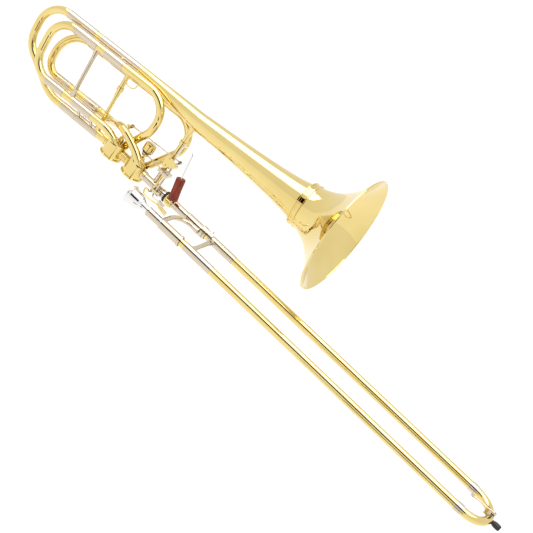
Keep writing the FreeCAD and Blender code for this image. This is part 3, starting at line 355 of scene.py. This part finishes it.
bell_place = (
    Matrix.Translation(Vector((0.0, BELL_PIVOT * math.sin(BELL_YAW), BELL_LIFT)) * MM)
    @ Matrix.Rotation(-BELL_YAW, 4, "Z")
    @ Matrix.Rotation(-BELL_TILT, 4, "Y")
)


def smooth_line(points, steps):
    """Points along a smooth curve that passes through the given flat ones."""
    ends = [
        tuple(2 * a - b for a, b in zip(points[0], points[1])),
        tuple(2 * a - b for a, b in zip(points[-1], points[-2])),
    ]
    line = [ends[0], *points, ends[1]]
    made = []
    for index in range(1, len(line) - 2):
        quad = [Vector((*point, 0.0)) for point in line[index - 1 : index + 3]]
        gaps = [max((b - a).length, LEAST_GAP) for a, b in zip(quad, quad[1:])]
        rise = (quad[2] - quad[0]) * (gaps[1] / (gaps[0] + gaps[1]))
        fall = (quad[3] - quad[1]) * (gaps[1] / (gaps[1] + gaps[2]))
        for step in range(steps):
            t = step / steps
            made.append(
                quad[1] * (2 * t**3 - 3 * t**2 + 1)
                + rise * (t**3 - 2 * t**2 + t)
                + quad[2] * (3 * t**2 - 2 * t**3)
                + fall * (t**3 - t**2)
            )
    made.append(Vector((*points[-1], 0.0)))
    return made


def skin(name, outline):
    """A closed round wall. Each outline entry is (station, radius, lift of the centre)."""
    corners = []
    for station, radius, lift in outline:
        for step in range(ROUND_STEPS):
            turn = 2 * math.pi * step / ROUND_STEPS
            local = Vector((station, radius * math.cos(turn), lift + radius * math.sin(turn)))
            corners.append(bell_place @ (local * MM))
    # These faces point into the wall, which a two-sided material doesn't show.
    faces = ring_faces(0, len(outline), ROUND_STEPS, closed=True)
    return shaded(name, corners, faces, SKIN_SHARP_ANGLE)


# Where the tail is thinner than this radius, its centre is lifted, so that its top stays level.
TAIL_TOP = 18.55
TAIL_STEPS = 8
# Stations along the bell's axis with their outside radii, in millimetres, here and below.
TAIL_LINE = [
    (-191.0, 8.95),
    (-130.0, 12.2),
    (-67.0, 16.4),
    (-20.0, 19.2),
    (24.0, 21.3),
    (90.0, 24.7),
    (150.0, 29.0),
    (190.0, 33.4),
    (222.0, 39.4),
    (229.6, 41.4),
]
tail_points = smooth_line(TAIL_LINE, TAIL_STEPS)
tail_line = [(point.x, point.y, max(0.0, TAIL_TOP - point.y)) for point in tail_points]
tail_inside = [(station, radius - WALL, lift) for station, radius, lift in reversed(tail_line)]
stand_in(skin("bell_tail_skin", tail_line + tail_inside), "bell_tail", "lacquered_brass")

FLARE_LINE = [
    (230.0, 41.9),
    (241.0, 44.6),
    (254.0, 48.9),
    (268.0, 55.6),
    (281.0, 65.0),
    (295.0, 79.0),
    (309.0, 97.0),
    (322.6, 118.7),
]
RING_LINE = [(237.5, 44.0), (236.3, 46.1), (234.2, 46.1), (233.6, 43.4), (230.0, 43.4)]
# The flare's outside shows in front of this station. Behind it the ring covers the flare.
RING_FRONT = 238.6
FLARE_STEPS = 10
BEAD_CENTRE = Vector((322.2, 118.7, 0.0))
BEAD_RADIUS = 1.8
BEAD_STEPS = 12
BEAD_START = 215.0
BEAD_SWEEP = 300.0
flare_line = smooth_line(FLARE_LINE, FLARE_STEPS)
flare_outside = [point for point in flare_line if point.x > RING_FRONT]
flare_inside = []
for index, point in enumerate(flare_line):
    before = flare_line[max(index - 1, 0)]
    after = flare_line[min(index + 1, len(flare_line) - 1)]
    along = (after - before).normalized()
    flare_inside.append(point + Vector((along.y, -along.x, 0.0)) * WALL)
bead = []
for step in range(BEAD_STEPS + 1):
    turn = math.radians(BEAD_START - BEAD_SWEEP * step / BEAD_STEPS)
    bead.append(BEAD_CENTRE + Vector((math.cos(turn), math.sin(turn), 0.0)) * BEAD_RADIUS)
outline = [Vector((*point, 0.0)) for point in RING_LINE[::-1]]
outline += flare_outside[:-1] + bead + flare_inside[::-1][1:]
flare_outline = [(point.x, point.y, 0.0) for point in outline]
stand_in(skin("bell_flare_skin", flare_outline), "bell_flare", "lacquered_brass")

# ---------------------------------------------------------------- the leather roll

ROLL_TOP = Vector((11.6, -22.0, 57.6))
ROLL_LOW = Vector((22.3, -22.0, 13.3))
ROLL_LINE = [
    (0.0, 1.75),
    (0.0, 7.9),
    (0.012, 8.7),
    (0.05, 9.35),
    (0.20, 9.30),
    (0.50, 9.00),
    (0.72, 9.35),
    (0.92, 9.75),
    (0.985, 9.30),
    (1.0, 8.4),
    (1.0, 0.6),
]
ROLL_STEPS = 120
ROLL_SPACING = 0.025
ROLL_SHARP_ANGLE = 0.9
CREASED_FROM = 7.0
CREASE_DEPTH = 0.22
CREASES_ROUND = 3.1
CREASES_ALONG = 1.6
SEAM_TURN = 2.3
SEAM_DEPTH = 0.45
SEAM_WIDTH = 0.05
STITCHES = 9
FIRST_STITCH = 0.12
LAST_STITCH = 0.88
STITCH_PARTS = 4
STITCH_SIDES = 6
STITCH_THICKNESS = 0.32
STITCH_SPREAD = 0.42
STITCH_SLANT = 1.6
STITCH_HIGH = 9.4
STITCH_SUNK = 8.8

roll_axis = ROLL_LOW - ROLL_TOP
roll_long = roll_axis.length
roll_place = (
    Matrix.Translation(ROLL_TOP * MM)
    @ roll_axis.to_track_quat("Z", "X").to_matrix().to_4x4()
    @ Matrix.Scale(MM, 4)
)


def round_point(radius, turn, height):
    """The point at this radius, angle and height."""
    return Vector((radius * math.cos(turn), radius * math.sin(turn), height))


def leather_radius(share, radius, turn):
    """The roll's radius, with lengthwise creases and a groove along the seam."""
    if radius < CREASED_FROM:
        return radius
    crease = field.noise(round_point(CREASES_ROUND, turn, share * CREASES_ALONG))
    apart = abs((turn - SEAM_TURN + math.pi) % (2 * math.pi) - math.pi)
    groove = SEAM_DEPTH * math.exp(-((apart / SEAM_WIDTH) ** 2))
    return radius + CREASE_DEPTH * crease - groove


def roll_line():
    """The roll's outline in short steps, as shares of its length with their radii."""
    line = []
    for (share, radius), (next_share, next_radius) in zip(ROLL_LINE, ROLL_LINE[1:]):
        parts = max(1, round(abs(next_share - share) / ROLL_SPACING))
        for part in range(parts):
            mix = part / parts
            point = (share + mix * (next_share - share), radius + mix * (next_radius - radius))
            line.append(point)
    line.append(ROLL_LINE[-1])
    return line


def roll_body():
    """The leather itself, closed at both ends."""
    line = roll_line()
    corners = []
    for share, radius in line:
        for step in range(ROLL_STEPS):
            turn = 2 * math.pi * step / ROLL_STEPS
            reach = leather_radius(share, radius, turn)
            corners.append(round_point(reach, turn, share * roll_long))
    # Turned over, these faces point outward.
    faces = [(a, d, c, b) for a, b, c, d in ring_faces(0, len(line), ROLL_STEPS)]
    faces.append(tuple(range(ROLL_STEPS))[::-1])
    faces.append(tuple(range(len(corners) - ROLL_STEPS, len(corners))))
    return corners, faces


def add_stitch(corners, faces, height):
    """One slanted stitch over the seam, with both ends sunk into the leather."""
    start = len(corners)
    for end in range(STITCH_PARTS + 1):
        along = end / STITCH_PARTS - 0.5
        turn = SEAM_TURN + along * STITCH_SPREAD
        reach = STITCH_HIGH if 0 < end < STITCH_PARTS else STITCH_SUNK
        for side in range(STITCH_SIDES):
            spin = 2 * math.pi * side / STITCH_SIDES
            out = reach + STITCH_THICKNESS * math.cos(spin)
            rise = along * STITCH_SLANT + STITCH_THICKNESS * math.sin(spin)
            corners.append(round_point(out, turn, height + rise))
    faces += ring_faces(start, STITCH_PARTS + 1, STITCH_SIDES)


roll_corners, roll_faces = roll_body()
for stitch in range(STITCHES):
    share = FIRST_STITCH + (LAST_STITCH - FIRST_STITCH) * stitch / (STITCHES - 1)
    add_stitch(roll_corners, roll_faces, roll_long * share)
placed_corners = [roll_place @ corner for corner in roll_corners]
leather_roll = shaded("hand_rest_leather", placed_corners, roll_faces, ROLL_SHARP_ANGLE)
stand_in(leather_roll, "hand_rest_roll", "grip_leather")
